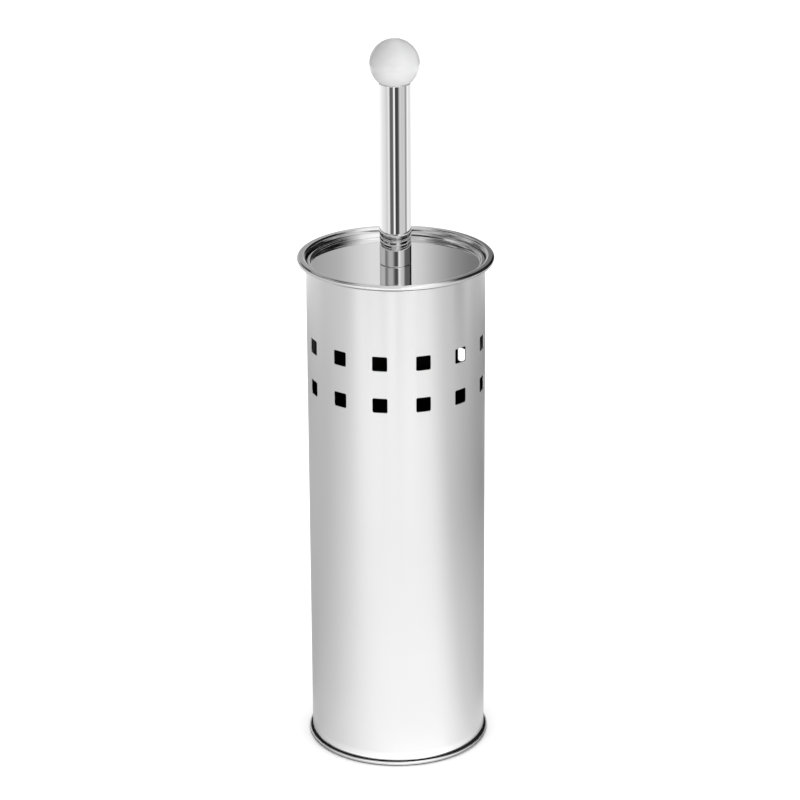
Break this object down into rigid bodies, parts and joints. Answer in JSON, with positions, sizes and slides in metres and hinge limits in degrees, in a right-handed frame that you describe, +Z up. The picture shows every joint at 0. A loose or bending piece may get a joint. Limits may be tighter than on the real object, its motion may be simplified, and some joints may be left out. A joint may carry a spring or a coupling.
{
  "type": "toilet brush holder",
  "caption": "Round free-standing toilet brush holder in steel: perforated tube, lift-out drip cup, and a brush with a flat lid, tubular handle and ball knob.",
  "frame": {"origin": "middle of the foot, on the floor", "axes": "+Z up along the tube's axis, +Y towards the tube's welded seam at the back, -Y the front"},
  "size_m": [0.11, 0.11, 0.4147],
  "materials": {
    "brushed_steel": "fine satin, brushed around the tube",
    "polished_steel": "mirror polished stainless steel",
    "plain_steel": "zinc-grey, unpolished",
    "chrome": "mirror polished",
    "black_rubber": "matte",
    "cup_plastic": "moulded, fine texture",
    "white_plastic": "moulded",
    "bristle_nylon": "nylon filament",
    "knob_acrylic": "frosted acrylic under a glossy skin"
  },
  "bodies": {
    "holder": {"body_shell": "brushed_steel", "rim_ring": "polished_steel", "inner_base_pan": "plain_steel", "base_gasket": "black_rubber", "base_dish": "polished_steel", "base_rivets": "plain_steel", "anti_slip_pad": "black_rubber"},
    "cup": {"drip_cup": "cup_plastic"},
    "brush": {"lid": "polished_steel", "lid_washer": "black_rubber", "clamp_nut": "plain_steel", "clamp_stud": "plain_steel", "handle_tube": "chrome", "handle_bottom_plug": "plain_steel", "handle_top_plug": "plain_steel", "knob_stud": "plain_steel", "ball_knob": "knob_acrylic", "stem_tube": "chrome", "stem_top_plug": "plain_steel", "stem_bottom_plug": "plain_steel", "brush_core": "white_plastic", "side_bristles": "bristle_nylon", "tip_bristles": "bristle_nylon"}
  },
  "joints": [
    {"name": "cup_lift", "type": "slide", "parent": "holder", "child": "cup", "axis": [0, 0, 1], "range_m": [0, 0.3]},
    {"name": "brush_lift", "type": "slide", "parent": "cup", "child": "brush", "axis": [0, 0, 1], "range_m": [0, 0.29]}
  ]
}
